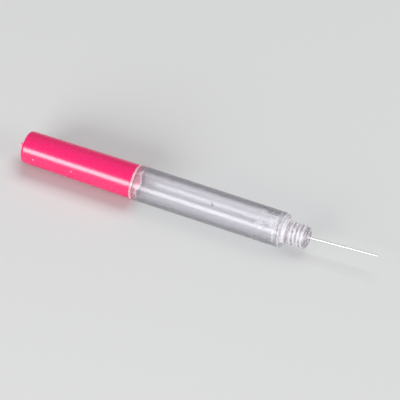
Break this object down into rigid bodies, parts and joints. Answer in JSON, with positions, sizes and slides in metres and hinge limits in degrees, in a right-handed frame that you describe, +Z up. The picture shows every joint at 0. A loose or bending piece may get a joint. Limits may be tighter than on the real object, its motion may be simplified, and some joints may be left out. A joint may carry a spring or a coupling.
{
  "type": "glue applicator bottle",
  "caption": "Pen-sized needle applicator: clear round tube, threaded neck, thin steel needle and a pink needle cap parked on its rear stub.",
  "frame": {"origin": "under the middle of the overall length, on the surface the bottle lies on", "axes": "+X along the bottle towards the needle, +Z up; one narrow flat of the tube faces down"},
  "size_m": [0.1076, 0.01, 0.01],
  "materials": {
    "clear_plastic": "clear, glossy, with moulding ripples",
    "plug_plastic": "clear, glossy",
    "cement": "milky solvent cement, uneven edge",
    "needle_steel": "drawn stainless steel, fine grain along its length",
    "adhesive": "clear cured adhesive",
    "pink_plastic": "bright pink, soft gloss, light scuffs"
  },
  "bodies": {
    "bottle": {"bottle_barrel": "clear_plastic", "rear_plug": "plug_plastic", "rear_bond": "cement"},
    "needle_unit": {"needle_plug": "plug_plastic", "needle_tube": "needle_steel", "needle_bond": "adhesive"},
    "cap": {"cap_shell": "pink_plastic"}
  },
  "joints": [
    {"name": "cap_pull", "type": "slide", "parent": "bottle", "child": "cap", "axis": [-1, 0, 0], "range_m": [0, 0.012]},
    {"name": "needle_plug_pull", "type": "slide", "parent": "bottle", "child": "needle_unit", "axis": [1, 0, 0], "range_m": [0, 0.01]}
  ]
}
